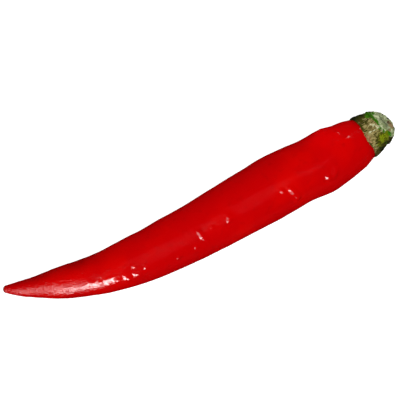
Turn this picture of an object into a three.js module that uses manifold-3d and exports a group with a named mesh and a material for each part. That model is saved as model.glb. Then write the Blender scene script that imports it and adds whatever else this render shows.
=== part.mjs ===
// A long red chilli pepper lying on its side, as picked, with its stalk snapped off close to the calyx.
//
// Units are millimetres and +Z is up. The pod's tip points to -X, its calyx to +X, and the pod bows
// to -Y. The origin is the middle of the bounding box, on the surface that the pepper lies on.
//
// The pod is lathed upright and then bent along its middle line. The calyx and the stub are lathed on
// the straight axis of the crown, a group that stands at the end of that line.

import * as THREE from "three";
import { mergeVertices } from "three/addons/utils/BufferGeometryUtils.js";
import Module from "manifold-3d";

// Driving dimensions.
const RIM_AT = 118.4; // where the calyx rim clasps the pod, measured from the tip along the middle line
const POD_LENGTH = 121.4; // the pod's neck goes on a little under the calyx
const NOSE_LENGTH = 1;
const HEIGHT_SHARE = 0.95; // a lying pod is a little wider than it is tall
const TIP_LIFT = 0.6; // how far the curved tip rises off the surface
const BELLY_AT = 88; // the fattest part that touches the surface
const CALYX_HEIGHT = 5; // from the rim to the flat that the stub stands on
const CROWN_TURN = 2; // degrees by which the calyx and the stub turn to +Y from the neck
const STUB_HEIGHT = 3.8; // on its axis
const BREAK_LOOKS_UP = 37; // degrees of slant of the broken face
const BREAK_LOOKS_ASIDE = 2; // the same, to the +Y side
const FIT_GAP = 0.3; // free space where one piece meets another

// The middle line seen from above, tip first: a hooked first third, then a long, gentle run.
const MIDDLE_LINE = [
  [-63.55, 3.45],
  [-58.5, 1.2],
  [-51, -1.4],
  [-43, -3.6],
  [-35, -5.2],
  [-27, -6.1],
  [-18, -6.4],
  [-6, -6],
  [10, -4.8],
  [25, -3.7],
  [37, -3.4],
  [45, -2.7],
  [52.5, -1.8],
  [60, -0.7],
  [67, 0.4],
];

// The pod's radius at distances from the tip.
const POD_RADII = [
  [NOSE_LENGTH, 1.2],
  [5, 2.25],
  [9, 3],
  [17, 4.7],
  [26, 5.8],
  [38, 7.1],
  [47, 7.8],
  [62, 8.4],
  [78, 9.05],
  [BELLY_AT, 9.35],
  [98, 9.15],
  [105, 9.25],
  [110, 8.6],
  [114, 7.7],
  [RIM_AT, 6.6],
];

// Soft swellings and hollows of the pod. Around is in degrees: 0 is the +Y flank, 90 the top and 180
// the -Y flank. Length and spread are the reach along the pod and around it.
const SWELLINGS = [
  { along: 91, around: 0, rise: 0.25, length: 6, spread: 50 },
  { along: 97, around: 180, rise: -0.35, length: 5, spread: 45 },
  { along: 101, around: 80, rise: -0.3, length: 5, spread: 60 },
  { along: 106, around: 180, rise: -0.15, length: 5, spread: 60 },
  { along: 66, around: 180, rise: 0.15, length: 14, spread: 60 },
];

// How finely the pieces are faceted.
const NOSE_RINGS = 4;
const POD_RINGS = 60;
const NECK_RINGS = 6;
const SIDES = 40;

const { degToRad, radToDeg, clamp, lerp, euclideanModulo } = THREE.MathUtils;
const UP = new THREE.Vector3(0, 0, 1);

const wasm = await Module();
wasm.setup();

const middleLine = new THREE.CatmullRomCurve3(
  MIDDLE_LINE.map(([x, y]) => new THREE.Vector3(x, y, 0)),
  false,
  "centripetal",
);
const middleLength = middleLine.getLength();

// A smooth curve through pairs of place and value.
function smoothThrough(pairs) {
  const places = pairs.map(([place]) => place);
  const values = pairs.map(([, value]) => value);
  const curve = new THREE.CubicInterpolant(places, values, 1);
  return (place) => curve.evaluate(clamp(place, places[0], places.at(-1)))[0];
}

const skinRadius = smoothThrough(POD_RADII);

// How far the swellings lift the skin at one place.
function swellingAt(along, around) {
  let sum = 0;
  for (const { along: centre, around: side, rise, length, spread } of SWELLINGS) {
    const away = euclideanModulo(around - side + 180, 360) - 180;
    sum += rise * Math.exp(-(((along - centre) / length) ** 2) - (away / spread) ** 2);
  }
  return sum;
}

// The middle line keeps half the pod's height off the surface up to the belly, then stays level, so
// the tapering neck is held clear.
function middleHeight(along) {
  const halfHeight = HEIGHT_SHARE * skinRadius(Math.min(along, BELLY_AT));
  const tipward = Math.max(0, 1 - along / BELLY_AT);
  return halfHeight + TIP_LIFT * tipward ** 4;
}

function middlePoint(along) {
  const point = middleLine.getPointAt(clamp(along / middleLength, 0, 1));
  return point.setZ(middleHeight(along));
}

// The place and the three directions at a distance along the middle line.
function frameAt(along) {
  const before = middlePoint(Math.max(along - 1, 0));
  const forward = middlePoint(along + 1).sub(before).normalize();
  const side = new THREE.Vector3().crossVectors(UP, forward).normalize();
  const top = new THREE.Vector3().crossVectors(forward, side);
  return { place: middlePoint(along), forward, side, top };
}

// The lathe profile of the pod: a round nose, the skin, and a round end under the calyx.
function podProfile(grow) {
  const profile = [new THREE.Vector2(0, -grow)];
  for (let i = 1; i < NOSE_RINGS; i++) {
    const turn = (Math.PI / 2) * (i / NOSE_RINGS);
    const radius = (skinRadius(NOSE_LENGTH) + grow) * Math.sin(turn);
    profile.push(new THREE.Vector2(radius, NOSE_LENGTH - (NOSE_LENGTH + grow) * Math.cos(turn)));
  }
  for (let i = 0; i <= POD_RINGS; i++) {
    const along = lerp(NOSE_LENGTH, RIM_AT, i / POD_RINGS);
    profile.push(new THREE.Vector2(skinRadius(along) + grow, along));
  }
  for (let i = 1; i < NECK_RINGS; i++) {
    const turn = (Math.PI / 2) * (i / NECK_RINGS);
    const along = RIM_AT + (POD_LENGTH - RIM_AT + grow) * Math.sin(turn);
    profile.push(new THREE.Vector2((skinRadius(RIM_AT) + grow) * Math.cos(turn), along));
  }
  profile.push(new THREE.Vector2(0, POD_LENGTH + grow));
  return profile;
}

// The pod's closed skin, moved outwards by grow.
function podGeometry(grow = 0) {
  const geometry = new THREE.LatheGeometry(podProfile(grow), SIDES);
  const spots = geometry.getAttribute("position");
  for (let i = 0; i < spots.count; i++) {
    const [across, along, up] = [spots.getZ(i), spots.getY(i), spots.getX(i)];
    const around = Math.atan2(up, across);
    const swelling = swellingAt(along, radToDeg(around)) / skinRadius(along);
    const radius = Math.hypot(across, up) * (1 + swelling);
    const { place, side, top } = frameAt(along);
    place.addScaledVector(side, radius * Math.cos(around));
    place.addScaledVector(top, radius * Math.sin(around) * HEIGHT_SHARE);
    spots.setXYZ(i, place.x, place.y, place.z);
  }
  geometry.computeVertexNormals();
  return geometry;
}

function toSolid(geometry) {
  const bare = geometry.clone();
  bare.deleteAttribute("normal");
  bare.deleteAttribute("uv");
  const merged = mergeVertices(bare, 1e-4);
  return new wasm.Manifold(
    new wasm.Mesh({
      numProp: 3,
      vertProperties: new Float32Array(merged.getAttribute("position").array),
      triVerts: new Uint32Array(merged.getIndex().array),
    }),
  );
}

function toGeometry(solid) {
  const mesh = solid.getMesh();
  const geometry = new THREE.BufferGeometry();
  geometry.setAttribute("position", new THREE.BufferAttribute(mesh.vertProperties, 3));
  geometry.setIndex(new THREE.BufferAttribute(mesh.triVerts, 1));
  geometry.computeVertexNormals();
  return geometry;
}

// A group at the rim whose own X axis runs straight out of the pod's end.
function makeCrown() {
  const crown = new THREE.Group();
  const { place, forward, side, top } = frameAt(RIM_AT);
  crown.position.copy(place);
  crown.quaternion.setFromRotationMatrix(new THREE.Matrix4().makeBasis(forward, side, top));
  crown.rotateZ(degToRad(CROWN_TURN));
  crown.updateMatrix();
  return crown;
}

// A closed form lathed on the crown's X axis, from pairs of height above the rim and radius.
function crownLathe(pairs) {
  const profile = pairs.map(([height, radius]) => new THREE.Vector2(radius, height));
  return new THREE.LatheGeometry(profile, SIDES).rotateZ(-Math.PI / 2).scale(1, 1, HEIGHT_SHARE);
}

// The cup that clasps the neck. The pod leaves its own shape inside it.
function calyxGeometry(crown) {
  const cup = crownLathe([
    [0, 0],
    [0, 6.9],
    [0.7, 7],
    [1.8, 6.9],
    [3, 6.65],
    [4, 6.4],
    [CALYX_HEIGHT, 6.05],
    [CALYX_HEIGHT, 0],
  ]);
  const room = podGeometry(FIT_GAP).applyMatrix4(crown.matrix.clone().invert());
  return toGeometry(toSolid(cup).subtract(toSolid(room)));
}

// What is left of the stalk: a short taper, broken on a slant so that it is longest underneath.
function stubGeometry() {
  const foot = CALYX_HEIGHT + FIT_GAP;
  const taper = crownLathe([
    [foot, 0],
    [foot, 5.75],
    [foot + 0.9, 5.45],
    [foot + 1.8, 5],
    [foot + 2.6, 4.4],
    [foot + 3.3, 3.6],
    [foot + STUB_HEIGHT, 2.7],
    [foot + STUB_HEIGHT + 0.15, 1.5],
    [foot + STUB_HEIGHT + 0.15, 0],
  ]);
  const upSlope = Math.tan(degToRad(BREAK_LOOKS_UP));
  const asideSlope = Math.tan(degToRad(BREAK_LOOKS_ASIDE));
  const spots = taper.getAttribute("position");
  for (let i = 0; i < spots.count; i++) {
    const towardsBreak = clamp((spots.getX(i) - foot) / STUB_HEIGHT, 0, 1);
    const slide = -asideSlope * spots.getY(i) - upSlope * spots.getZ(i);
    spots.setX(i, spots.getX(i) + towardsBreak * slide);
  }
  taper.computeVertexNormals();
  return taper;
}

function makeMesh(name, geometry, look) {
  const mesh = new THREE.Mesh(geometry, new THREE.MeshStandardMaterial({ ...look, metalness: 0 }));
  mesh.name = name;
  return mesh;
}

const crown = makeCrown();
crown.add(
  makeMesh("calyx", calyxGeometry(crown), { color: 0x76702f, roughness: 0.8 }),
  makeMesh("stalk_stub", stubGeometry(), { color: 0xa9b98c, roughness: 0.85 }),
);
const lyingPepper = new THREE.Group();
lyingPepper.add(makeMesh("pod", podGeometry(), { color: 0xc40008, roughness: 0.3 }), crown);

// Moves the origin to the middle of the box, on the surface.
const box = new THREE.Box3().setFromObject(lyingPepper, true);
const middle = box.getCenter(new THREE.Vector3());
lyingPepper.position.set(-middle.x, -middle.y, -box.min.z);

const chilli = new THREE.Group();
chilli.add(lyingPepper);

export default chilli;
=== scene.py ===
import math

import bpy
import numpy as np
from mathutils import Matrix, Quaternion, Vector, noise
from mathutils.bvhtree import BVHTree


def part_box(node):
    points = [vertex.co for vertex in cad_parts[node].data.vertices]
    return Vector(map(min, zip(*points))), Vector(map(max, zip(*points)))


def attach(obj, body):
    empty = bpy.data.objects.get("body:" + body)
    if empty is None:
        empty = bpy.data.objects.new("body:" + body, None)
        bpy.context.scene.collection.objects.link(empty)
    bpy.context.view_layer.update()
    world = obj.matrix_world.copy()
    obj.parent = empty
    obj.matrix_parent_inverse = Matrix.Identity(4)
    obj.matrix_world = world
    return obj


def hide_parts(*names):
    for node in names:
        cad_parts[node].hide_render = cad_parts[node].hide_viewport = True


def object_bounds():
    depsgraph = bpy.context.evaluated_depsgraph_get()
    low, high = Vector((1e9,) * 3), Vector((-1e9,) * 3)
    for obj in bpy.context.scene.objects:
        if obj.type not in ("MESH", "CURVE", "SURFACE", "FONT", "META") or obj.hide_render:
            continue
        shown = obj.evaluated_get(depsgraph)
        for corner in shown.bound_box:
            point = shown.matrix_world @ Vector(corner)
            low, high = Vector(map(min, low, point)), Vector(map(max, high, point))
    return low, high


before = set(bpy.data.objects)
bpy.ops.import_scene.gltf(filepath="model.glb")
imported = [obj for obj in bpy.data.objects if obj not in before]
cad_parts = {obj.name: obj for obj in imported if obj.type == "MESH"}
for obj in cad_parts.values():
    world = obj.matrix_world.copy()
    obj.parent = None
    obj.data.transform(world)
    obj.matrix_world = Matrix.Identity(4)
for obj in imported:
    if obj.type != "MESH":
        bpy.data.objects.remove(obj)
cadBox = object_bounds()

mm = 0.001
up = Vector((0, 0, 1))


# measuring the solids of the frame
def treeOf(obj):
    faces = [p.vertices for p in obj.data.polygons]
    return BVHTree.FromPolygons([v.co for v in obj.data.vertices], faces)


def reach(tree, start, direction):  # from a point inside, out to the skin
    hit = tree.ray_cast(start, direction)[0]
    return (hit - start).length if hit else 0.0


def reachIn(tree, start, direction, far=0.03):  # the outer skin, found from outside
    hit = tree.ray_cast(start + direction * far, -direction)[0]
    return (hit - start).dot(direction) if hit else 0.0


def sideAndTop(forward):
    side = up.cross(forward).normalized()
    return side, forward.cross(side)


def centred(tree, point, forward):  # the middle of the slice that the point is in
    for across in sideAndTop(forward):
        point = point + across * (reach(tree, point, across) - reach(tree, point, -across)) / 2
    return point


def walk(tree, point, forward, step, keepOff):  # follows the middle of a long solid, straight at its end
    points = []
    while reach(tree, point, forward) > keepOff + step:
        ahead = centred(tree, point + forward * step, forward)
        forward = (ahead - point).normalized()
        point = ahead
        points.append(point)
    return points + [point + forward * reach(tree, point, forward)]


def middleLineOf(obj, step, nose, neck):
    tree = treeOf(obj)
    low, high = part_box(obj.name)
    start = centred(tree, (low + high) / 2, Vector((1, 0, 0)))
    back = walk(tree, start, Vector((-1, 0, 0)), step, nose)
    ahead = walk(tree, start, Vector((1, 0, 0)), step, neck)
    return np.array([tuple(p) for p in back[::-1] + [start] + ahead])


def largestFlat(obj):  # middle and outward normal of the biggest flat face, which may be in triangles
    groups = {}
    for p in obj.data.polygons:
        groups.setdefault(tuple(round(x, 3) for x in p.normal), []).append(p)
    faces = max(groups.values(), key=lambda ps: sum(p.area for p in ps))
    area = sum(p.area for p in faces)
    middle = sum((p.center * p.area for p in faces), Vector()) / area
    return middle, faces[0].normal.copy()


# small maths on rows and grids of numbers
def evened(row, passes):  # smooths a row and keeps its two ends
    row = np.array(row, float)
    for _ in range(passes):
        row[1:-1] = (row[:-2] + 2 * row[1:-1] + row[2:]) / 4
    return row


def sampled(marks, rows, places):  # one row stands at each mark, and they are read at other places
    return np.stack([np.interp(places, marks, rows[:, k]) for k in range(rows.shape[1])], axis=1)


def respaced(points, places):  # points at the given distances along a polyline
    steps = np.linalg.norm(np.diff(points, axis=0), axis=1)
    return sampled(np.concatenate([[0], np.cumsum(steps)]), points, places)


def lengthOf(points):
    return np.linalg.norm(np.diff(points, axis=0), axis=1).sum()


def bell(distance, width):
    return np.exp(-((distance / width) ** 2))


def ramp(value, low, high):  # 0 at low, 1 at high, eased
    t = np.clip((value - low) / (high - low), 0, 1)
    return t * t * (3 - 2 * t)


def turned(degrees, start):  # how far round from start, -180 to 180
    return (degrees - start + 180) % 360 - 180


def placed(azimuth, elevation, distance):  # a lamp's or camera's place round the middle, 0 is in front
    a, e = math.radians(azimuth), math.radians(elevation)
    return Vector((math.sin(a) * math.cos(e), -math.cos(a) * math.cos(e), math.sin(e))) * distance


def lumps(places, size, octaves=1, seed=0):  # noise at each place, about -1 to 1
    flat = places.reshape(-1, 3) / size + seed * 17.3  # each seed reads another part of the noise
    if octaves > 1:
        values = [noise.fractal(Vector(p), 0.7, 2.0, octaves) for p in flat]
    else:
        values = [noise.noise(Vector(p)) for p in flat]
    return np.array(values).reshape(places.shape[:-1])


# a closed mesh from rings of points, each end drawn to one point
def ringMesh(name, rings, masks, material):
    count, sides = rings.shape[:2]
    verts = np.concatenate([rings.reshape(-1, 3), rings[:1].mean(1), rings[-1:].mean(1)])
    first, last = count * sides, count * sides + 1
    i, j = np.meshgrid(np.arange(count - 1), np.arange(sides), indexing="ij")
    k = (j + 1) % sides
    quads = np.stack([i * sides + j, i * sides + k, (i + 1) * sides + k, (i + 1) * sides + j], axis=-1)
    faces = quads.reshape(-1, 4).tolist()
    faces += [(first, (n + 1) % sides, n) for n in range(sides)]
    edge = (count - 1) * sides
    faces += [(last, edge + n, edge + (n + 1) % sides) for n in range(sides)]
    mesh = bpy.data.meshes.new(name)
    mesh.from_pydata(verts.tolist(), [], faces)
    mesh.polygons.foreach_set("use_smooth", [True] * len(mesh.polygons))
    # the same grid laid out flat, for textures that are baked later
    row, column = (i + 1) / (count + 1), j / sides
    nextRow, nextColumn = (i + 2) / (count + 1), (j + 1) / sides
    corners = [(row, column), (row, nextColumn), (nextRow, nextColumn), (nextRow, column)]
    spots = [np.stack(c, axis=-1).reshape(-1, 1, 2) for c in corners]
    unrolled = np.concatenate(spots, axis=1).reshape(-1, 2).tolist()
    top, bottom = 1 / (count + 1), count / (count + 1)
    for n in range(sides):
        unrolled += [(0, (n + 0.5) / sides), (top, (n + 1) / sides), (top, n / sides)]
    for n in range(sides):
        unrolled += [(1, (n + 0.5) / sides), (bottom, n / sides), (bottom, (n + 1) / sides)]
    mesh.uv_layers.new(name="OFBake").uv.foreach_set("vector", np.array(unrolled, float).ravel())
    for label, values in masks.items():
        ends = [values[0].mean(axis=0), values[-1].mean(axis=0)]
        flat = np.concatenate([values.reshape(first, -1), np.array(ends).reshape(2, -1)])
        kind, field = ("FLOAT", "value") if values.ndim == 2 else ("FLOAT_VECTOR", "vector")
        mesh.attributes.new(label, kind, "POINT").data.foreach_set(field, flat.ravel())
    obj = bpy.data.objects.new(name, mesh)
    bpy.context.scene.collection.objects.link(obj)
    mesh.materials.append(material)
    return obj


def settle(obj, node):  # the fine piece takes the place of its plain solid
    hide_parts(node)
    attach(obj, "root")


# node helpers for the materials
def newMaterial(name):
    material = bpy.data.materials.new(name)
    material.use_nodes = True
    tree = material.node_tree
    return material, tree, tree.nodes["Principled BSDF"]


def add(tree, kind, values=(), **settings):  # a node with its inputs linked or set
    node = tree.nodes.new(kind)
    for key, value in settings.items():
        setattr(node, key, value)
    for key, value in dict(values).items():
        if hasattr(value, "is_output"):
            tree.links.new(value, node.inputs[key])
        else:
            node.inputs[key].default_value = value
    return node


def painted(tree, under, over, mask):  # lays one colour over another where the mask is 1
    return add(tree, "ShaderNodeMix", {6: under, 7: over, 0: mask}, data_type="RGBA").outputs[2]


def sums(tree, operation, first, second):
    return add(tree, "ShaderNodeMath", {0: first, 1: second}, operation=operation).outputs[0]


def remapped(tree, value, low, high, outLow=0.0, outHigh=1.0):
    values = {"Value": value, "From Min": low, "From Max": high, "To Min": outLow, "To Max": outHigh}
    return add(tree, "ShaderNodeMapRange", values, interpolation_type="SMOOTHSTEP").outputs["Result"]


def maskOf(tree, name):  # a value painted on the mesh
    return add(tree, "ShaderNodeAttribute", attribute_name=name).outputs["Fac"]


def placeOf(tree, name):  # a position stored on the mesh, in mm
    return add(tree, "ShaderNodeAttribute", attribute_name=name).outputs["Vector"]


def bumped(tree, shader, height, strength, distance):  # distance in mm
    values = {"Height": height, "Strength": strength, "Distance": distance * mm}
    bump = add(tree, "ShaderNodeBump", values)
    tree.links.new(bump.outputs["Normal"], shader.inputs["Normal"])


blotchDetail = {"Broad": 2.0, "Small": 3.0, "Grain": 2.0}


# blotches of three sizes, for every living surface here
def makeBlotchGroup():
    group = bpy.data.node_groups.new("livingBlotches", "ShaderNodeTree")
    sockets = group.interface
    sockets.new_socket("Place", in_out="INPUT", socket_type="NodeSocketVector")
    for label in blotchDetail:
        sockets.new_socket(label + " size", in_out="INPUT", socket_type="NodeSocketFloat")
        sockets.new_socket(label, in_out="OUTPUT", socket_type="NodeSocketFloat")
    given = group.nodes.new("NodeGroupInput").outputs
    result = group.nodes.new("NodeGroupOutput").inputs
    for label, detail in blotchDetail.items():
        pitch = sums(group, "DIVIDE", 1.0, given[label + " size"])
        values = {"Vector": given["Place"], "Scale": pitch, "Detail": detail}
        texture = add(group, "ShaderNodeTexNoise", values)
        group.links.new(texture.outputs["Fac"], result[label])
    return group


blotchGroup = makeBlotchGroup()


def blotches(tree, place, broad, small, grain):  # sizes in mm
    values = {"Place": place, "Broad size": broad, "Small size": small, "Grain size": grain}
    return add(tree, "ShaderNodeGroup", values, node_tree=blotchGroup).outputs


# the camera looks almost straight down on the lying pepper
view = dict(
    azimuth=-25,
    elevation=80,
    lens=100,
    sensor=36,
    nearest=0.01,  # metres
    farthest=20,
    tall=1.03,  # the render's height as a share of its width
    fill=0.98,  # how much of the render's width the pepper takes
    left=0.3,  # mm
    higher=0.3,  # mm
    rounds=12,  # of aiming and stepping back
)


def makeCamera(points):
    back = placed(view["azimuth"], view["elevation"], 1)
    data = bpy.data.cameras.new("camera")
    data.lens = view["lens"]
    data.sensor_width = view["sensor"]
    data.clip_start, data.clip_end = view["nearest"], view["farthest"]
    camera = bpy.data.objects.new("camera", data)
    bpy.context.scene.collection.objects.link(camera)
    camera.rotation_euler = (-back).to_track_quat("-Z", "Y").to_euler()
    bpy.context.scene.camera = camera
    turn = np.array(camera.rotation_euler.to_matrix())
    right, above, out = turn[:, 0], turn[:, 1], turn[:, 2]
    perMetre = view["lens"] / view["sensor"] * view["tall"]  # share of the width for 1 m seen from 1 m
    aim = points.mean(axis=0)
    distance = 0.34  # metres, a first guess
    for _ in range(view["rounds"]):
        away = points - (aim + out * distance)
        depth = -(away @ out)
        x, y = away @ right / depth * perMetre, away @ above / depth * perMetre
        aim = aim + right * (x.max() + x.min()) / 2 * distance / perMetre
        aim = aim + above * (y.max() + y.min()) / 2 * distance / perMetre
        distance *= (x.max() - x.min()) / view["fill"]
    aim = aim + right * view["left"] * mm - above * view["higher"] * mm
    camera.location = Vector(aim + out * distance)
    print(f"camera {distance / mm:.0f} mm away")


# the pod, with every height and length in mm
pod = dict(
    rings=400,
    endRings=12,
    sides=216,
    nose=1.0,  # round tip
    neck=3.0,  # round end under the calyx
    neckBluntness=0.7,  # 1 is a round end, less is blunter
    lineStep=1.0,  # between the measured points of the middle line
    fineStep=0.25,
    linePasses=8,  # of smoothing, first on the measured points and then on the fine ones
    finePasses=60,
    facetsAlong=1.3,  # mm and degrees over which the plain solid's facets are smoothed away
    facetsAround=5.0,
    lobes=3,  # faint ridges that run the length of the pod
    lobeTwist=1.1,  # degrees for each mm
    lobeHeight=0.1,
    waveSize=9.0,
    waviness=0.12,
    crinkleSize=1.1,
    crinkle=0.03,  # fine wrinkles across the skin
    crinkleSpread=7.0,  # size of the areas that have them
    tipGrainSize=1.0,
    tipGrain=0.05,  # finer lumps near the tip
    rimSwell=0.15,
    foldWander=0.2,  # how far the line of a fold strays
    wanderSize=1.8,
    foldLean=0.12,  # for each degree round and each unit of slant
    foldBack=2.0,  # a fold is this many times wider behind its crest than on the side of the tip
    # distances from the tip between which each one comes in
    lobesFrom=(5, 40),
    wavesFrom=(2, 20),
    rimFrom=(112, 119),
    tipGrainFrom=(38, 20),
    tipCrinklesFrom=(45, 15),
    neckCrinklesFrom=(106, 114),
    # single dents and swells: distance from the tip, degrees round, mm high, mm long, degrees wide
    swells=[
        (98, 5, 0.2, 3.5, 45),
        (109, 8, 0.34, 4.0, 45),
        (42, 0, 0.15, 4.0, 45),
        (54, 0, 0.15, 4.0, 45),
        (77, 0, 0.15, 4.0, 45),
        (30, 0, -0.15, 6.0, 45),
        (84, 180, 0.12, 5.0, 40),
        (104, 180, 0.15, 3.5, 40),
        (113, 182, 0.16, 4.0, 40),
        (52, 180, -0.14, 6.0, 40),
        (94, 45, -0.12, 3.5, 28),
        (95, 157, -0.22, 3.5, 26),
        (99, 100, 0.12, 3.0, 24),
        (104, 60, -0.16, 3.2, 26),
        (112, 100, 0.12, 3.2, 30),
        (79, 104, 0.1, 5.0, 30),
        (58, 112, 0.1, 5.0, 32),
        (68, 60, -0.1, 5.0, 30),
        (47, 135, 0.1, 4.0, 26),
        (35, 60, -0.1, 4.0, 30),
        (25, 250, 0.15, 5.0, 40),
        (60, 280, 0.18, 6.0, 40),
        (85, 230, -0.2, 5.0, 30),
        (102, 300, -0.2, 4.0, 40),
        (110.5, 37, 0.28, 4.0, 25),
        (42.0, 134, 0.32, 1.7, 12),
        (38.6, 137, 0.24, 1.4, 10),
        (35.6, 132, 0.14, 1.2, 9),
        (116, 14, 0.35, 2.5, 34),
        (116, 186, 0.3, 2.5, 40),
    ],
    # small folds that lie across the skin: distance, degrees round, degrees long, mm wide, mm high, slant
    folds=[
        (62.0, 103, 5, 0.5, 0.3, 0.25),
        (62.1, 112, 8, 0.55, 0.36, 0.25),
        (62.8, 125, 7, 0.45, 0.16, 0.3),
        (59.3, 130, 5, 0.5, 0.24, 0.2),
        (53.5, 134, 4, 0.5, 0.24, -0.2),
        (72.0, 108, 9, 0.85, 0.62, 0.3),
        (71.0, 112, 4, 0.45, 0.3, 0.1),
        (66.0, 107, 3, 0.45, 0.34, 0.0),
        (88.8, 114, 6, 0.5, 0.46, 0.6),
        (91.1, 118, 7, 0.65, 0.6, 0.35),
        (91.9, 128, 9, 0.68, 0.62, 0.1),
        (92.3, 141, 7, 0.65, 0.62, -0.3),
        (103.2, 131, 7, 0.68, 0.64, 0.2),
        (105.6, 127, 8, 0.68, 0.66, -0.3),
        (101.9, 94, 3, 0.45, 0.16, 0.2),
        (94.7, 90, 3, 0.45, 0.14, 0.0),
        (113.2, 79, 5, 0.6, 0.22, 0.3),
        (111.8, 55, 6, 0.5, 0.2, 0.2),
        (32.5, 137, 6, 0.6, 0.16, 0.3),
        (35.0, 131, 5, 0.5, 0.12, 0.2),
        (38.2, 136, 6, 0.6, 0.16, 0.1),
        (41.0, 131, 6, 0.6, 0.16, 0.1),
        (41.0, 108, 6, 0.7, 0.24, 0.3),
        (44.2, 122, 5, 0.7, 0.24, 0.3),
        (44.2, 114, 4, 0.5, 0.2, 0.2),
        (39.0, 103, 4, 0.45, 0.16, 0.0),
        (30.2, 124, 6, 0.45, 0.13, 0.3),
        (27.6, 118, 5, 0.45, 0.11, 0.3),
        (47.0, 250, 9, 0.5, 0.16, 0.2),
        (64.0, 300, 10, 0.5, 0.18, -0.3),
        (78.0, 215, 8, 0.5, 0.16, 0.3),
        (96.0, 340, 9, 0.5, 0.18, 0.2),
        (109.0, 20, 8, 0.5, 0.16, -0.3),
        (86.0, 40, 6, 0.45, 0.14, 0.3),
    ],
)

podSkin = dict(
    # deep red serves the darker blotches, and the painted shade on the far side and next to the rim
    deep=(0.33, 0.0, 0.0004, 1),
    # bright red is the colour of the painted light on one spot
    bright=(0.86, 0.0, 0.0008, 1),
    red=(0.58, 0.0, 0.0008, 1),
    warm=(0.66, 0.0004, 0.0004, 1),
    scar=(0.16, 0.022, 0.008, 1),
    blotchSizes=(11.0, 2.4, 0.62),  # mm
    roughness=0.072,
    roughnessSpread=0.04,
    tipRoughness=0.02,  # added at the tip
    grainHeight=0.24,  # mm at the tip
    grainElsewhere=0.1,  # as a share of the tip's
    refraction=1.45,
    # shares of the length between which each one comes in
    tipFrom=(0.3, 0.13),
    # rimFrom here is where the painted shade next to the calyx's rim comes in
    rimFrom=(0.955, 0.985),
    scarFrom=(0.012, 0.002),
    # painted shade darkens the far side towards the tip, and a painted light makes one spot brighter
    shadedAmount=0.75,
    shadedFrom=(44, 22),  # mm from the tip
    paintedLightSpot=(109, 6, 36, 34),  # mm from the tip, mm long, degrees round, degrees wide
    mottle=0.3,  # how much both vary
    mottleSize=6.0,  # mm
)


def makePodSkin():
    material, tree, shader = newMaterial("podSkin")
    place = placeOf(tree, "place")
    along = maskOf(tree, "along")
    spots = blotches(tree, place, *podSkin["blotchSizes"])
    colour = painted(tree, podSkin["red"], podSkin["warm"], remapped(tree, spots["Broad"], 0.42, 0.68))
    colour = painted(tree, colour, podSkin["deep"], remapped(tree, spots["Small"], 0.52, 0.85, 0.0, 0.35))
    # painted shade: deep red on the far side near the tip
    colour = painted(tree, colour, podSkin["deep"], maskOf(tree, "shaded"))
    # painted light: a brighter spot on the far side near the neck
    colour = painted(tree, colour, podSkin["bright"], maskOf(tree, "paintedLight"))
    # painted shade: deep red next to the calyx's rim
    colour = painted(tree, colour, podSkin["deep"], remapped(tree, along, *podSkin["rimFrom"], 0.0, 0.6))
    colour = painted(tree, colour, podSkin["scar"], remapped(tree, along, *podSkin["scarFrom"], 0.0, 0.7))
    tree.links.new(colour, shader.inputs["Base Color"])
    tipward = remapped(tree, along, *podSkin["tipFrom"])
    smoothest = podSkin["roughness"]
    rough = remapped(tree, spots["Small"], 0.3, 0.8, smoothest, smoothest + podSkin["roughnessSpread"])
    rough = sums(tree, "ADD", rough, sums(tree, "MULTIPLY", tipward, podSkin["tipRoughness"]))
    tree.links.new(rough, shader.inputs["Roughness"])
    grain = sums(tree, "ADD", spots["Grain"], sums(tree, "MULTIPLY", spots["Small"], 0.8))
    least = podSkin["grainElsewhere"]
    amount = sums(tree, "ADD", sums(tree, "MULTIPLY", tipward, 1 - least), least)
    grain = sums(tree, "MULTIPLY", grain, amount)
    bumped(tree, shader, grain, 1.0, podSkin["grainHeight"])
    shader.inputs["IOR"].default_value = podSkin["refraction"]
    return material


def podPlaces(length):  # distances of the rings from the tip, and the round ends as shares of the radius
    turn = (np.arange(pod["endRings"]) + 0.5) / pod["endRings"] * math.pi / 2
    nose = pod["nose"] * (1 - np.cos(turn))
    rim = length - pod["neck"]
    body = np.linspace(pod["nose"], rim, pod["rings"])
    neck = rim + pod["neck"] * np.sin(turn)
    return np.concatenate([nose, body, neck]), np.sin(turn), np.cos(turn) ** pod["neckBluntness"]


def smoothedGrid(grid, pitch, along, around):  # bell-shaped smoothing, closed round the second axis
    sides = grid.shape[1]
    turn = np.minimum(np.arange(sides), sides - np.arange(sides)) * 360 / sides
    weights = np.fft.rfft(bell(turn, around) / bell(turn, around).sum())
    grid = np.fft.irfft(np.fft.rfft(grid, axis=1) * weights, sides, axis=1)
    span = int(2.5 * along / pitch)
    kernel = bell(np.arange(-span, span + 1) * pitch, along)
    padded = np.pad(grid, ((span, span), (0, 0)), mode="reflect", reflect_type="odd")
    columns = [np.convolve(padded[:, j], kernel / kernel.sum(), mode="valid") for j in range(sides)]
    return np.stack(columns, axis=1)


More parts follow.
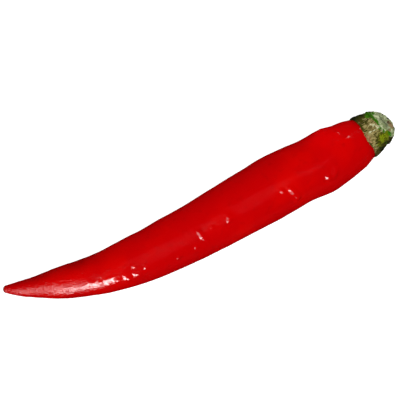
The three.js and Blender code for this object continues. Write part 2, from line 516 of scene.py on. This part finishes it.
def podRelief(along, around, places):  # everything that lifts or dents the skin, in mm
    lobes = np.cos(np.radians(pod["lobes"] * around + pod["lobeTwist"] * along))
    relief = pod["lobeHeight"] * lobes * ramp(along, *pod["lobesFrom"])
    relief += pod["waviness"] * lumps(places, pod["waveSize"], 2, seed=1) * ramp(along, *pod["wavesFrom"])
    relief += pod["rimSwell"] * ramp(along, *pod["rimFrom"])
    for distance, turn, height, long, wide in pod["swells"]:
        relief += height * bell(along - distance, long) * bell(turned(around, turn), wide)
    wander = pod["foldWander"] * lumps(places, pod["wanderSize"], 1, seed=3)
    for distance, turn, reachAround, wide, height, slant in pod["folds"]:
        away = turned(around, turn)
        acrossFold = along - distance - slant * away * pod["foldLean"] + wander
        spread = np.where(acrossFold < 0, wide, pod["foldBack"] * wide)
        relief += height * bell(acrossFold, spread) * bell(away, reachAround)
    # crinkles come in areas, and nearly everywhere at both ends
    crinkled = ramp(lumps(places, pod["crinkleSpread"], 1, seed=5), 0.0, 0.5)
    crinkled = np.maximum(crinkled, ramp(along, *pod["tipCrinklesFrom"]) * 0.9)
    crinkled = np.maximum(crinkled, ramp(along, *pod["neckCrinklesFrom"]) * 0.8)
    stretched = places * np.array([1, 0.3, 0.3])  # crinkles run round the pod
    relief += pod["crinkle"] * crinkled * lumps(stretched, pod["crinkleSize"], 2, seed=7) * ramp(along, 1, 5)
    nearTip = ramp(along, 1, 3) * ramp(along, *pod["tipGrainFrom"])
    relief += pod["tipGrain"] * lumps(places, pod["tipGrainSize"], 1, seed=8) * nearTip
    return relief


def makePod():
    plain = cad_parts["pod"]
    tree = treeOf(plain)
    line = middleLineOf(plain, pod["lineStep"] * mm, pod["nose"] * mm, pod["neck"] * mm)
    line = evened(line, pod["linePasses"])
    length = lengthOf(line) / mm
    fine = evened(respaced(line, np.arange(0, length, pod["fineStep"]) * mm), pod["finePasses"])
    marks = np.arange(len(fine)) * length / (len(fine) - 1)
    places, nose, neck = podPlaces(length)
    spine, forward = sampled(marks, fine, places), sampled(marks, np.gradient(fine, axis=0), places)
    forward /= np.linalg.norm(forward, axis=1)[:, None]
    side = np.cross((0, 0, 1), forward)
    side /= np.linalg.norm(side, axis=1)[:, None]
    top = np.cross(forward, side)
    around = np.arange(pod["sides"]) * 360 / pod["sides"]
    cos, sin = np.cos(np.radians(around)), np.sin(np.radians(around))
    out = side[:, None] * cos[None, :, None] + top[:, None] * sin[None, :, None]
    body = range(len(nose), len(places) - len(neck))
    measured = [[reach(tree, Vector(spine[i]), Vector(d)) / mm for d in out[i]] for i in body]
    pitch = places[body[1]] - places[body[0]]
    skin = smoothedGrid(np.array(measured), pitch, pod["facetsAlong"], pod["facetsAround"])
    radius = np.concatenate([skin[:1] * nose[:, None], skin, skin[-1:] * neck[:, None]])
    along = np.repeat(places[:, None], pod["sides"], axis=1)
    aroundAll = np.repeat(around[None], len(places), axis=0)
    unbent = np.stack([along, radius * cos, radius * sin], axis=-1)
    underCalyx = ramp(length - along, 0.5, pod["neck"] + 0.3)  # 0 where the calyx hides the skin
    radius = radius + podRelief(along, aroundAll, unbent) * underCalyx
    rings = spine[:, None] + out * (radius * mm)[..., None]
    mottled = 1 + podSkin["mottle"] * lumps(unbent, podSkin["mottleSize"], 2, seed=9)
    # painted shade on the far side near the tip
    farSide = ramp(np.cos(np.radians(aroundAll)), -0.1, 0.9)
    shaded = podSkin["shadedAmount"] * farSide * ramp(along, *podSkin["shadedFrom"])
    # painted light on one spot on the far side near the neck
    distance, long, turn, wide = podSkin["paintedLightSpot"]
    paintedLight = bell(along - distance, long) * bell(turned(aroundAll, turn), wide)
    masks = {
        "along": along / length,
        "place": unbent,
        "shaded": np.clip(shaded * mottled, 0, 1),
        "paintedLight": np.clip(paintedLight * mottled, 0, 1),
    }
    obj = ringMesh("podFlesh", rings, masks, makePodSkin())
    settle(obj, "pod")
    print(f"pod {length:.1f} mm along its middle line, {len(obj.data.polygons)} faces")
    return obj


podPiece = makePod()


# where the calyx stands, taken from its flat top and the axis square to it
def crownFrame():
    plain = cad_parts["calyx"]
    middle, axis = largestFlat(plain)
    height = max((middle - v.co).dot(axis) for v in plain.data.vertices)
    side, top = sideAndTop(axis)
    return middle - axis * height, axis, side, top, height / mm


crownRim, crownAxis, crownSide, crownTop, calyxHeight = crownFrame()
crownTurns = 256
alongFibres = np.array([0.3, 1, 1])  # stretches noise along the stalk


def crownOut(around):
    return crownSide * math.cos(math.radians(around)) + crownTop * math.sin(math.radians(around))


def crownSkin(node, heights, around):  # radius in mm at each height and turn
    tree = treeOf(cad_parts[node])
    rows = [[reachIn(tree, crownRim + crownAxis * h * mm, crownOut(a)) / mm for a in around] for h in heights]
    return np.array(rows)


def crownPlaces(height, aside, above):  # crown coordinates in mm to places in the frame
    parts = zip((height, aside, above), (crownAxis, crownSide, crownTop))
    return np.array(tuple(crownRim)) + sum(p[..., None] * mm * np.array(tuple(d)) for p, d in parts)


patchWander = 0.45  # mm that the edges of painted patches stray


def patches(height, aside, above, spots, seed):  # soft patches with ragged edges
    where = np.stack([height, aside, above], axis=-1)
    raggedUp = patchWander * lumps(where, 1.0, 3, seed)
    raggedAcross = patchWander * lumps(where, 1.0, 3, seed + 1)
    shade = np.zeros_like(height)
    for atHeight, atAside, tall, wide, amount in spots:
        off = (height - atHeight + raggedUp) / tall
        across = (aside - atAside + raggedAcross) / wide
        shade = np.maximum(shade, amount * np.exp(-(off**2 + across**2)))
    return shade


# the calyx, a cup with a thin wavy lip that clasps the pod's neck, in mm
calyx = dict(
    lip=0.16,  # half the thickness of the rim
    hollow=(1.7, 0.6),  # from under the top to above the rim
    overTop=0.1,  # how far the shoulder stands over the plain cup's top
    facetsAlong=0.3,  # mm and degrees over which the plain cup's facets are smoothed away
    facetsAround=5,
    measuredRings=24,
    hollowRings=10,
    lipRings=9,
    wallRings=63,
    shoulderRings=13,
    ribs=23,
    ribHeight=0.07,
    lumpHeight=0.13,
    lumpSize=1.5,
    fibreHeight=0.07,
    fibreSize=0.42,
    raggedRim=0.12,
    # waves of the rim: degrees round, mm up, degrees wide
    waves=[
        (38, 0.7, 26),
        (66, 0.35, 14),
        (110, -0.3, 16),
        (140, 0.2, 16),
        (182, 0.6, 24),
        (255, -0.3, 22),
        (310, 0.4, 20),
    ],
    # painted patches: height, place to the far side, half height, half width, and then strength
    dry=[
        (3.4, 0.3, 2.2, 2.6, 1.0),
        (1.2, -1.9, 1.3, 2.2, 1.0),
        (1.9, 1.6, 1.2, 1.2, 0.8),
        (1.0, -4.6, 0.8, 1.1, 0.7),
        (4.4, 2.6, 0.9, 0.9, 0.8),
    ],
    # pale: bleached fibre; the two patches near the top also stand in for a painted sheen
    pale=[
        (5.0, -0.4, 0.5, 0.7, 1.2),
        (5.0, -1.9, 0.4, 0.5, 0.9),
        (3.6, 0.9, 0.9, 0.35, 0.9),
        (2.6, -0.6, 1.1, 0.3, 0.8),
    ],
    rim=[(0.4, -1.8, 0.6, 2.2, 1.0), (0.3, -5.2, 0.4, 1.0, 0.5)],
    # dark: painted shade in black green, mostly at the cup's far and near edges
    dark=[
        (1.4, 6.4, 1.9, 1.5, 1.0),
        (3.4, 5.6, 1.0, 1.0, 0.8),
        (3.3, -6.2, 1.6, 0.9, 0.9),
        (4.6, -5.4, 0.9, 1.0, 0.6),
        (1.6, 3.0, 0.8, 0.7, 0.5),
    ],
    fresh=[(5.2, 4.4, 0.9, 1.0, 1.2), (5.1, -1.1, 0.5, 0.4, 0.9), (5.0, -5.6, 0.6, 0.8, 0.5)],
    lime=[(4.5, -3.8, 1.7, 1.6, 0.95), (2.9, -5.0, 1.2, 0.9, 0.6)],
)


def rimRise(around):
    return sum(rise * bell(turned(around, turn), wide) for turn, rise, wide in calyx["waves"])


def makeCalyx():
    around = np.arange(crownTurns) * 360 / crownTurns
    cos, sin = np.cos(np.radians(around)), np.sin(np.radians(around))
    measureAt = np.linspace(0.15, calyxHeight - 0.1, calyx["measuredRings"])
    measured = crownSkin("calyx", measureAt, around)
    pitch = measureAt[1] - measureAt[0]
    measured = smoothedGrid(measured, pitch, calyx["facetsAlong"], calyx["facetsAround"])
    rise = rimRise(around)
    lip = calyx["lip"]
    heights, radii = [], []

    def outer(height):
        return np.array([np.interp(h, measureAt, measured[:, j]) for j, h in enumerate(height)])

    edge = outer(rise + lip)
    deepest, shallowest = calyxHeight - calyx["hollow"][0], calyx["hollow"][1]
    for h in np.linspace(deepest, shallowest, calyx["hollowRings"]):  # the hollow, which the pod fills
        heights.append(rise * 0.5 + h)
        radii.append((edge - 2 * lip) * (1 - (h / calyxHeight) ** 3 * 0.6))
    for turn in np.linspace(180, 0, calyx["lipRings"]):  # round the lip
        heights.append(rise + lip - lip * math.sin(math.radians(turn)))
        radii.append(edge - lip + lip * math.cos(math.radians(turn)))
    shoulder = calyxHeight + calyx["overTop"]
    for share in np.linspace(0, 1, calyx["wallRings"] + 1)[1:]:
        heights.append(rise + lip + (shoulder - rise - lip) * share)
        radii.append(outer(heights[-1]))
    for share in np.linspace(1, 0.5, calyx["shoulderRings"] + 1)[1:]:
        heights.append(np.full(crownTurns, shoulder))
        radii.append(outer(heights[-1]) * share)
    height, radius = np.array(heights), np.array(radii)
    outside = np.zeros_like(height)
    outside[calyx["hollowRings"] :] = 1
    where = np.stack([height, radius * cos, radius * sin], axis=-1)
    ribs = np.cos(np.radians(calyx["ribs"] * around) + 2 * lumps(where, 4.0, 1, 11))
    relief = calyx["ribHeight"] * ribs * ramp(height, 0.2, 2)
    relief += calyx["lumpHeight"] * lumps(where, calyx["lumpSize"], 2, 12)
    relief += calyx["fibreHeight"] * lumps(where * alongFibres, calyx["fibreSize"], 2, 13)
    radius = radius + relief * outside
    ragged = calyx["raggedRim"] * lumps(where * np.array([0.2, 1, 1]), 0.7, 2, 14)
    height = height + ragged * ramp(height, 1.5, 0.2) * outside
    aside, above = radius * cos, radius * sin
    upper = ramp(above, -3, 0)
    masks = {"place": np.stack([height, aside, above], axis=-1)}
    for n, label in enumerate(("dry", "pale", "rim", "dark", "fresh", "lime")):
        masks[label] = patches(height, aside, above, calyx[label], 20 + 2 * n) * upper
    under = ramp(above, 0, -3)  # the underside has broad patches at random instead
    masks["dry"] = np.maximum(masks["dry"], under * ramp(lumps(where, 3.0, 2, 31), -0.1, 0.4) * 0.8)
    masks["fresh"] = np.maximum(masks["fresh"], under * ramp(lumps(where, 3.5, 2, 32), 0.0, 0.5) * 0.8)
    obj = ringMesh("calyxCup", crownPlaces(height, aside, above), masks, makeCalyxRind())
    settle(obj, "calyx")
    rimWidth = 2 * radius[calyx["hollowRings"] + calyx["lipRings"]].max()
    print(f"calyx {rimWidth:.1f} mm across, {len(obj.data.polygons)} faces")
    return obj


# the stub of the stalk, broken on a slant with a torn green edge, in mm
stub = dict(
    sunk=0.6,  # inside the calyx
    sunkRings=4,
    rings=100,
    edge=0.76,  # where the torn edge stands, as a share of the foot's radius
    edgeAbove=0.13,  # nearer the foot on top, further out below
    fuller=1.12,  # times the outline's own width
    longer=0.35,
    edgeHeight=0.2,
    edgeLumps=0.14,
    tornHeight=0.36,
    tuftHeight=0.22,
    lumpHeight=0.1,
    fibreHeight=0.06,
    fresh=[
        (5.4, 4.8, 0.9, 1.0, 1.3),
        (5.8, 3.9, 0.8, 1.1, 1.4),
        (6.0, 2.8, 0.75, 1.0, 1.4),
        (6.0, 1.7, 0.7, 0.9, 1.3),
        (5.9, 0.7, 0.55, 0.7, 1.2),
        (5.6, -1.1, 0.5, 0.5, 1.2),
        (6.3, -2.2, 0.5, 0.5, 1.0),
        (7.6, -3.6, 0.7, 0.7, 1.3),
        (7.3, 4.4, 0.7, 0.6, 1.2),
    ],
    lime=[(5.2, -3.9, 1.6, 1.5, 0.95), (6.5, -3.6, 1.3, 1.1, 0.95), (7.2, -3.0, 0.8, 0.8, 0.9)],
    # dark: painted shade in black green, at the near edge and in the hollow of the broken face
    dark=[
        (7.2, -5.2, 1.2, 0.6, 0.8),
        (5.9, -5.6, 1.0, 0.5, 0.7),
        (11.2, 0.7, 0.5, 0.7, 1.2),
        (10.4, 2.6, 0.5, 0.5, 0.8),
    ],
    dry=[(5.3, 1.6, 0.6, 1.0, 0.8), (5.5, 0.0, 0.5, 1.6, 0.7)],
    # pale: bleached fibre, with a painted sheen on the two patches next to the calyx
    pale=[(5.2, -0.5, 0.5, 0.7, 1.2), (5.2, -2.0, 0.4, 0.5, 1.0), (6.3, -0.4, 0.5, 0.6, 0.8)],
    brown=[(10.2, -0.4, 0.7, 0.7, 1.1), (9.3, 1.4, 0.5, 0.9, 0.5)],
    tan=[(9.9, -1.9, 0.9, 0.9, 1.1), (8.6, -2.8, 0.6, 0.5, 0.8), (10.9, -1.2, 0.6, 1.6, 0.8)],
)

# the stub's outline: mm above the foot, radius as a share of the foot's
stubOutline = [
    (0, 1),
    (0.9, 0.95),
    (1.8, 0.87),
    (2.6, 0.765),
    (3.3, 0.63),
    (3.8, 0.47),
    (3.95, 0.26),
    (3.97, 0),
]


def leanOf(tree, direction, span=3.0):  # how steeply the broken face rises that way, over a span in mm
    ends = [crownRim + direction * t * mm for t in (-span / 2, span / 2)]
    low, high = [reachIn(tree, end, crownAxis) / mm for end in ends]
    return (high - low) / span


def makeStub():
    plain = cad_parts["stalk_stub"]
    around = np.arange(crownTurns) * 360 / crownTurns
    cos, sin = np.cos(np.radians(around)), np.sin(np.radians(around))
    reaches = np.array([(v.co - crownRim).dot(crownAxis) / mm for v in plain.data.vertices])
    foot = reaches.min()
    tree = treeOf(plain)
    footRadius = crownSkin("stalk_stub", [foot + 0.05], around)[0]
    leanUp, leanAside = leanOf(tree, crownTop), leanOf(tree, crownSide)
    # the outline with its corners rounded off
    outline = np.array(stubOutline)
    climb = np.linspace(0, 1, 400)
    soft = evened(sampled(np.arange(len(outline)), outline, climb * (len(outline) - 1)), 300)
    at = np.linspace(0, 1, stub["rings"] + 1)[:-1] ** 0.9  # rings a little closer on the face
    lift, share = [np.interp(at, climb, soft[:, k])[:, None] for k in (0, 1)]
    lift = lift * (1 + stub["longer"] / outline[-1, 0])
    edgeShare = (stub["edge"] + stub["edgeAbove"] * sin)[None]
    radius = footRadius * share * (1 + (stub["fuller"] - 1) * ramp(lift, 0, 1.2))
    tilt = np.clip(lift / outline[-3, 0], 0, 1)  # the slant comes in from the foot to the face
    height = foot + lift + tilt * radius * (leanUp * sin + leanAside * cos)
    sunkRings = stub["sunkRings"]
    below = np.linspace(-stub["sunk"], 0, sunkRings + 1)[:-1, None] + np.zeros_like(radius[:1])
    height = np.concatenate([foot + below, height])
    radius = np.concatenate([np.repeat(radius[:1] * 0.98, sunkRings, axis=0), radius])
    share = np.concatenate([np.ones((sunkRings, 1)), share])
    face = ramp(edgeShare - share, -0.02, 0.05)
    where = np.stack([height, radius * cos, radius * sin], axis=-1)
    edge = bell(share - edgeShare, 0.04)
    height = height + edge * (stub["edgeHeight"] + stub["edgeLumps"] * lumps(where, 0.8, 2, 41))
    height += face * stub["tornHeight"] * lumps(where, 1.5, 2, 42)
    height += face * stub["tuftHeight"] * lumps(where * alongFibres, 0.45, 3, 43)
    # the side goes on with the calyx's own lumps and fibres
    radius = radius + stub["fibreHeight"] * lumps(where * alongFibres, calyx["fibreSize"], 2, 13) * (1 - face)
    radius += stub["lumpHeight"] * lumps(where, calyx["lumpSize"], 2, 12) * (1 - face)
    aside, above = radius * cos, radius * sin
    upper = np.maximum(ramp(above, -4, -1), face)
    masks = {"place": np.stack([height, aside, above], axis=-1), "face": face}
    for n, label in enumerate(("fresh", "lime", "dark", "dry", "pale", "brown", "tan")):
        masks[label] = patches(height, aside, above, stub[label], 50 + 2 * n) * upper
    torn = bell(share - edgeShare, 0.06) * ramp(lumps(where, 1.6, 2, 71), -0.35, 0.1)
    masks["fresh"] = np.maximum(masks["fresh"], torn * ramp(above, 1, -2))
    obj = ringMesh("stalkStub", crownPlaces(height, aside, above), masks, makeStubWood())
    settle(obj, "stalk_stub")
    print(f"stub to {height.max():.1f} mm above the rim, {len(obj.data.polygons)} faces")
    return obj


# green rind with dry fibre, used on the calyx and on the stub's side
rind = {
    "Olive": (0.047, 0.047, 0.003, 1),
    "Brown": (0.075, 0.056, 0.01, 1),
    "Tan": (0.42, 0.33, 0.125, 1),
    "Tan shadow": (0.125, 0.098, 0.026, 1),
    "Bleached and sheen": (0.72, 0.76, 0.5, 1),
    "Lime tone": (0.155, 0.205, 0.001, 1),
    "Yellow green": (0.27, 0.32, 0.008, 1),
    "Green": (0.06, 0.26, 0.001, 1),
    "Black green": (0.014, 0.018, 0.003, 1),
}

rindMasks = ("Dry", "Pale", "Lime", "Fresh", "Dark")
fibreWidth = 0.32  # mm
crownShine = 0.04  # specular level of the rind and the broken wood


def makeRindGroup():
    group = bpy.data.node_groups.new("greenRind", "ShaderNodeTree")
    sockets = group.interface
    sockets.new_socket("Place", in_out="INPUT", socket_type="NodeSocketVector")
    for label in rindMasks + ("Fibre width",):
        sockets.new_socket(label, in_out="INPUT", socket_type="NodeSocketFloat")
    for label, value in rind.items():
        sockets.new_socket(label, in_out="INPUT", socket_type="NodeSocketColor").default_value = value
    sockets.new_socket("Colour", in_out="OUTPUT", socket_type="NodeSocketColor")
    sockets.new_socket("Height", in_out="OUTPUT", socket_type="NodeSocketFloat")
    given = group.nodes.new("NodeGroupInput").outputs
    result = group.nodes.new("NodeGroupOutput").inputs
    drawn = add(group, "ShaderNodeMapping", {"Vector": given["Place"], "Scale": (0.28, 1.0, 1.0)})
    pitch = sums(group, "DIVIDE", 1.0, given["Fibre width"])
    fibre = add(group, "ShaderNodeTexNoise", {"Vector": drawn.outputs[0], "Scale": pitch, "Detail": 3.0})
    wide = add(group, "ShaderNodeTexNoise", {"Vector": given["Place"], "Scale": 0.9, "Detail": 4.0})
    streaks = remapped(group, fibre.outputs["Fac"], 0.36, 0.68)
    rough = sums(group, "SUBTRACT", fibre.outputs["Fac"], 0.5)
    broad = sums(group, "MULTIPLY", sums(group, "SUBTRACT", wide.outputs["Fac"], 0.5), 1.5)
    jitter = sums(group, "ADD", sums(group, "MULTIPLY", rough, 1.6), broad)

    def worn(label, low, high):  # a painted mask with its edge broken up by the fibres
        return remapped(group, sums(group, "ADD", given[label], jitter), low, high)

    colour = painted(group, given["Olive"], given["Brown"], remapped(group, wide.outputs["Fac"], 0.4, 0.62))
    dryFibre = painted(group, given["Tan shadow"], given["Tan"], streaks)
    colour = painted(group, colour, dryFibre, worn("Dry", 0.22, 0.55))
    # pale bleached fibre, partly a painted sheen
    paleFibre = painted(group, given["Tan"], given["Bleached and sheen"], streaks)
    colour = painted(group, colour, paleFibre, worn("Pale", 0.25, 0.6))
    limeTone = painted(group, given["Lime tone"], given["Yellow green"], streaks)
    colour = painted(group, colour, limeTone, worn("Lime", 0.2, 0.95))
    betweenStreaks = remapped(group, streaks, 1.0, 0.0, 0.0, 0.55)
    shadedGreen = painted(group, given["Green"], given["Black green"], betweenStreaks)
    colour = painted(group, colour, shadedGreen, worn("Fresh", 0.2, 0.75))
    # painted shade: black green where the dark mask is
    colour = painted(group, colour, given["Black green"], worn("Dark", 0.3, 0.8))
    group.links.new(colour, result["Colour"])
    height = sums(group, "ADD", fibre.outputs["Fac"], sums(group, "MULTIPLY", wide.outputs["Fac"], 0.6))
    group.links.new(height, result["Height"])
    return group


rindGroup = makeRindGroup()


def rindOn(tree, place):  # the rind group, fed with the masks painted on the mesh
    values = {label: maskOf(tree, label.lower()) for label in rindMasks}
    values.update({"Place": place, "Fibre width": fibreWidth})
    return add(tree, "ShaderNodeGroup", values, node_tree=rindGroup).outputs


def roughWith(tree, shader, spots, low, high):  # roughness between two limits, in small blotches
    tree.links.new(remapped(tree, spots["Small"], 0.3, 0.7, low, high), shader.inputs["Roughness"])


calyxSkin = dict(
    lipBrown=(0.24, 0.13, 0.055, 1),
    lipTan=(0.42, 0.26, 0.12, 1),
    blotchSizes=(3.0, 0.8, 0.22),  # mm
    grainHeight=0.16,  # mm
)


def makeCalyxRind():
    material, tree, shader = newMaterial("calyxRind")
    shader.inputs["Specular IOR Level"].default_value = crownShine
    place = placeOf(tree, "place")
    made = rindOn(tree, place)
    spots = blotches(tree, place, *calyxSkin["blotchSizes"])
    lipSpots = remapped(tree, spots["Small"], 0.4, 0.65)
    lip = painted(tree, calyxSkin["lipBrown"], calyxSkin["lipTan"], lipSpots)
    lipMask = sums(tree, "ADD", maskOf(tree, "rim"), sums(tree, "SUBTRACT", spots["Small"], 0.5))
    colour = painted(tree, made["Colour"], lip, remapped(tree, lipMask, 0.3, 0.7))
    tree.links.new(colour, shader.inputs["Base Color"])
    roughWith(tree, shader, spots, 0.55, 0.85)
    relief = sums(tree, "ADD", made["Height"], sums(tree, "MULTIPLY", spots["Grain"], 0.5))
    bumped(tree, shader, relief, 0.8, calyxSkin["grainHeight"])
    return material


brokenWood = dict(
    pale=(0.27, 0.33, 0.14, 1),
    bright=(0.62, 0.67, 0.4, 1),
    grey=(0.1, 0.12, 0.06, 1),
    brown=(0.13, 0.078, 0.04, 1),
    tan=(0.32, 0.22, 0.1, 1),
    blotchSizes=(2.6, 0.75, 0.25),  # mm
    grainHeight=0.3,  # mm
)


def makeStubWood():
    material, tree, shader = newMaterial("stubWood")
    shader.inputs["Specular IOR Level"].default_value = crownShine
    place = placeOf(tree, "place")
    made = rindOn(tree, place)
    spots = blotches(tree, place, *brokenWood["blotchSizes"])
    jitter = sums(tree, "SUBTRACT", spots["Small"], 0.5)

    def frayed(label, low, high):  # a mask from the mesh with its edge broken up
        return remapped(tree, sums(tree, "ADD", maskOf(tree, label), jitter), low, high)

    wood = painted(tree, brokenWood["pale"], brokenWood["bright"], remapped(tree, spots["Small"], 0.42, 0.62))
    wood = painted(tree, wood, brokenWood["grey"], remapped(tree, spots["Broad"], 0.5, 0.68, 0.0, 0.8))
    for label in ("tan", "brown"):
        wood = painted(tree, wood, brokenWood[label], frayed(label, 0.3, 0.7))
    onFace = painted(tree, wood, rind["Lime tone"], frayed("lime", 0.35, 0.65))
    shade = remapped(tree, spots["Grain"], 0.58, 0.38, 0.0, 0.55)
    green = painted(tree, rind["Green"], rind["Black green"], shade)
    onFace = painted(tree, onFace, green, frayed("fresh", 0.35, 0.65))
    # painted shade in black green on the stub
    onFace = painted(tree, onFace, rind["Black green"], frayed("dark", 0.35, 0.65))
    colour = painted(tree, made["Colour"], onFace, frayed("face", 0.4, 0.6))
    tree.links.new(colour, shader.inputs["Base Color"])
    roughWith(tree, shader, spots, 0.6, 0.9)
    relief = sums(tree, "ADD", made["Height"], sums(tree, "MULTIPLY", spots["Grain"], 0.6))
    bumped(tree, shader, relief, 0.9, brokenWood["grainHeight"])
    return material


calyxPiece = makeCalyx()
stubPiece = makeStub()

# a pale table and soft studio light
studio = dict(
    floorSize=5.0,  # metres
    floorGrey=0.82,
    floorGlow=0.72,  # seen by the camera only
    worldPale=1.0,  # what the camera sees
    worldFill=0.2,  # what falls on the pepper
)

# azimuth, elevation and roll in degrees; distance, width and height in metres
# gloss lamps show in the shine only, the others light only the colour
lights = {
    "softbox": dict(
        azimuth=-54, elevation=22, roll=-29, away=0.6, width=0.86, height=0.31, watts=4.4, gloss=True
    ),
    "softboxCore": dict(
        azimuth=-37, elevation=20, roll=-8, away=0.6, width=0.11, height=0.24, watts=2.0, gloss=True
    ),
    "overheadPanel": dict(
        azimuth=-32, elevation=70, roll=0, away=0.9, width=0.8, height=0.8, watts=7.7, gloss=False
    ),
    "backPanel": dict(
        azimuth=121, elevation=29, roll=0, away=0.9, width=0.5, height=0.5, watts=1.7, gloss=False
    ),
    "backStrip": dict(
        azimuth=112, elevation=16, roll=10, away=0.6, width=0.5, height=0.22, watts=1.25, gloss=True
    ),
}


def makeLamp(name, lamp, middle):
    data = bpy.data.lights.new(name, "AREA")
    data.shape = "RECTANGLE"
    data.size, data.size_y = lamp["width"], lamp["height"]
    data.energy = lamp["watts"]
    obj = bpy.data.objects.new(name, data)
    obj.location = middle + placed(lamp["azimuth"], lamp["elevation"], lamp["away"])
    turn = placed(lamp["azimuth"], lamp["elevation"], 1).to_track_quat("Z", "Y")
    obj.rotation_euler = (turn @ Quaternion((0, 0, 1), math.radians(lamp["roll"]))).to_euler()
    obj.visible_glossy = lamp["gloss"]
    obj.visible_diffuse = not lamp["gloss"]
    obj.visible_camera = False
    bpy.context.scene.collection.objects.link(obj)


def makeStudio():
    middle = (cadBox[0] + cadBox[1]) / 2
    for name, lamp in lights.items():
        makeLamp(name, lamp, middle)
    makeFloor()
    makeWorld()
    bpy.context.scene.view_settings.view_transform = "Standard"


def makeFloor():
    half = studio["floorSize"] / 2
    mesh = bpy.data.meshes.new("tableTop")
    corners = [(-half, -half, 0), (half, -half, 0), (half, half, 0), (-half, half, 0)]
    mesh.from_pydata(corners, [], [(0, 1, 2, 3)])
    material, tree, shader = newMaterial("paleTable")
    grey = studio["floorGrey"]
    shader.inputs["Base Color"].default_value = (grey, grey, grey, 1)
    shader.inputs["Roughness"].default_value = 0.9
    shader.inputs["Specular IOR Level"].default_value = 0.0
    path = add(tree, "ShaderNodeLightPath")
    shader.inputs["Emission Color"].default_value = (1, 1, 1, 1)
    glow = sums(tree, "MULTIPLY", path.outputs["Is Camera Ray"], studio["floorGlow"])
    tree.links.new(glow, shader.inputs["Emission Strength"])
    mesh.materials.append(material)
    floor = bpy.data.objects.new("tableTop", mesh)
    bpy.context.scene.collection.objects.link(floor)
    floor.visible_glossy = False


def makeWorld():
    world = bpy.data.worlds.new("studio")
    bpy.context.scene.world = world
    world.use_nodes = True
    tree = world.node_tree
    background = tree.nodes["Background"]
    background.inputs["Color"].default_value = (1, 1, 1, 1)
    path = add(tree, "ShaderNodeLightPath")
    extra = sums(tree, "MULTIPLY", path.outputs["Is Camera Ray"], studio["worldPale"] - studio["worldFill"])
    tree.links.new(sums(tree, "ADD", extra, studio["worldFill"]), background.inputs["Strength"])
    world.cycles_visibility.glossy = False


makeStudio()
pieces = (podPiece, calyxPiece, stubPiece)
makeCamera(np.array([tuple(v.co) for piece in pieces for v in piece.data.vertices]))
